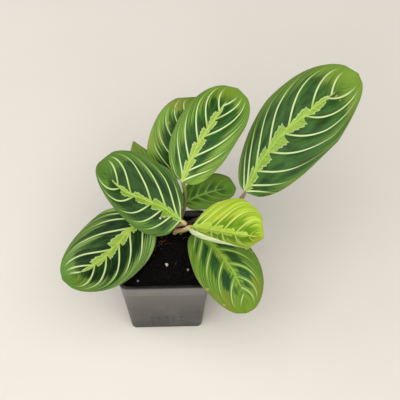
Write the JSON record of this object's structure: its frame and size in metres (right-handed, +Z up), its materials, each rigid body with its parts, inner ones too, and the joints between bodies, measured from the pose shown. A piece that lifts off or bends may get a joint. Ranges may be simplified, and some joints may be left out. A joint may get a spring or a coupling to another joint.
{
  "type": "potted calathea",
  "caption": "Low foliage plant with broad oval patterned leaves on short stalks, growing from potting mix in a square tapered plastic nursery pot.",
  "frame": {"origin": "centre of the pot's underside", "axes": "+Z up, -Y out of the front of the pot, +X to the right of somebody facing that front"},
  "size_m": [0.2966, 0.2223, 0.2018],
  "materials": {
    "pot_plastic": "thin moulded black plastic, slightly satin",
    "potting_mix": "moist peat and bark, rough",
    "perlite": "expanded mineral grains, dull white",
    "leaf": "living leaf, satin, dark patches between pale side veins",
    "young_leaf": "young leaf, satin, yellow lime",
    "leaf_stalk": "living stalk, smooth, tan to green"
  },
  "bodies": {
    "root": {"pot": "pot_plastic", "soil": "potting_mix", "perlite_1": "perlite", "perlite_2": "perlite", "perlite_3": "perlite", "perlite_4": "perlite", "perlite_5": "perlite", "blade_right_long": "leaf", "stalk_right_long": "leaf_stalk", "blade_back_upright": "leaf", "stalk_back_upright": "leaf_stalk", "blade_back_hidden": "leaf", "stalk_back_hidden": "leaf_stalk", "blade_left_upper": "leaf", "stalk_left_upper": "leaf_stalk", "blade_left_lower": "leaf", "stalk_left_lower": "leaf_stalk", "blade_young_lime": "young_leaf", "stalk_young_lime": "leaf_stalk", "blade_right_lower": "leaf", "stalk_right_lower": "leaf_stalk", "blade_small_shaded": "leaf", "stalk_small_shaded": "leaf_stalk", "blade_left_pointed": "leaf", "stalk_left_pointed": "leaf_stalk"}
  },
  "joints": []
}
